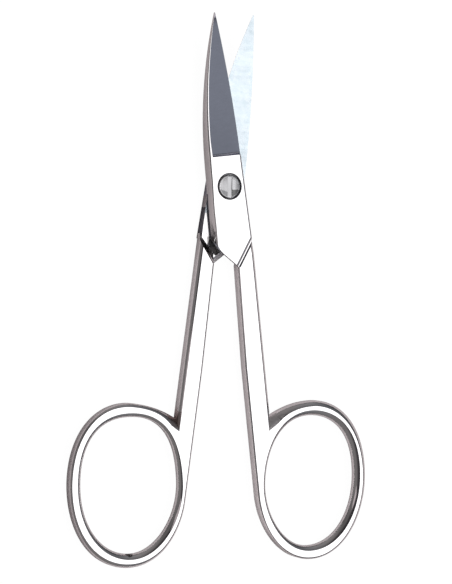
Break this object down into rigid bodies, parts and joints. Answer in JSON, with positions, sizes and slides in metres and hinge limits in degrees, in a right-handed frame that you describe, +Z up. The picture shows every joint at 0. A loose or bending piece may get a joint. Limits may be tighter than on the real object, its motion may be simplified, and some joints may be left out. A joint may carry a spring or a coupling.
{
  "type": "thread snips",
  "caption": "Small all-steel scissors for snipping thread: finger rings, straight shanks, a lap joint on a slotted screw and slim pointed blades that curve gently upward.",
  "frame": {"origin": "on the screw axis, at the flush tail of the screw in the back face of the lap, which the part lies on", "axes": "+Y along the closed blades toward the tips, +Z up out of the flat of the snips toward the screw head, +X to the right seen from above"},
  "size_m": [0.0534, 0.0897, 0.0047],
  "materials": {
    "front_steel": "mirror polished steel, fine ground bevels",
    "back_steel": "mirror polished steel, satin inner face",
    "screw_steel": "turned satin steel"
  },
  "bodies": {
    "back": {"back_half": "back_steel", "pivot_screw": "screw_steel"},
    "front": {"front_half": "front_steel"}
  },
  "joints": [
    {"name": "pivot", "type": "hinge", "parent": "back", "child": "front", "pos_m": [0, 0, 0.002], "axis": [0, 0, 1], "range_deg": [-14.5, 75.5]}
  ]
}
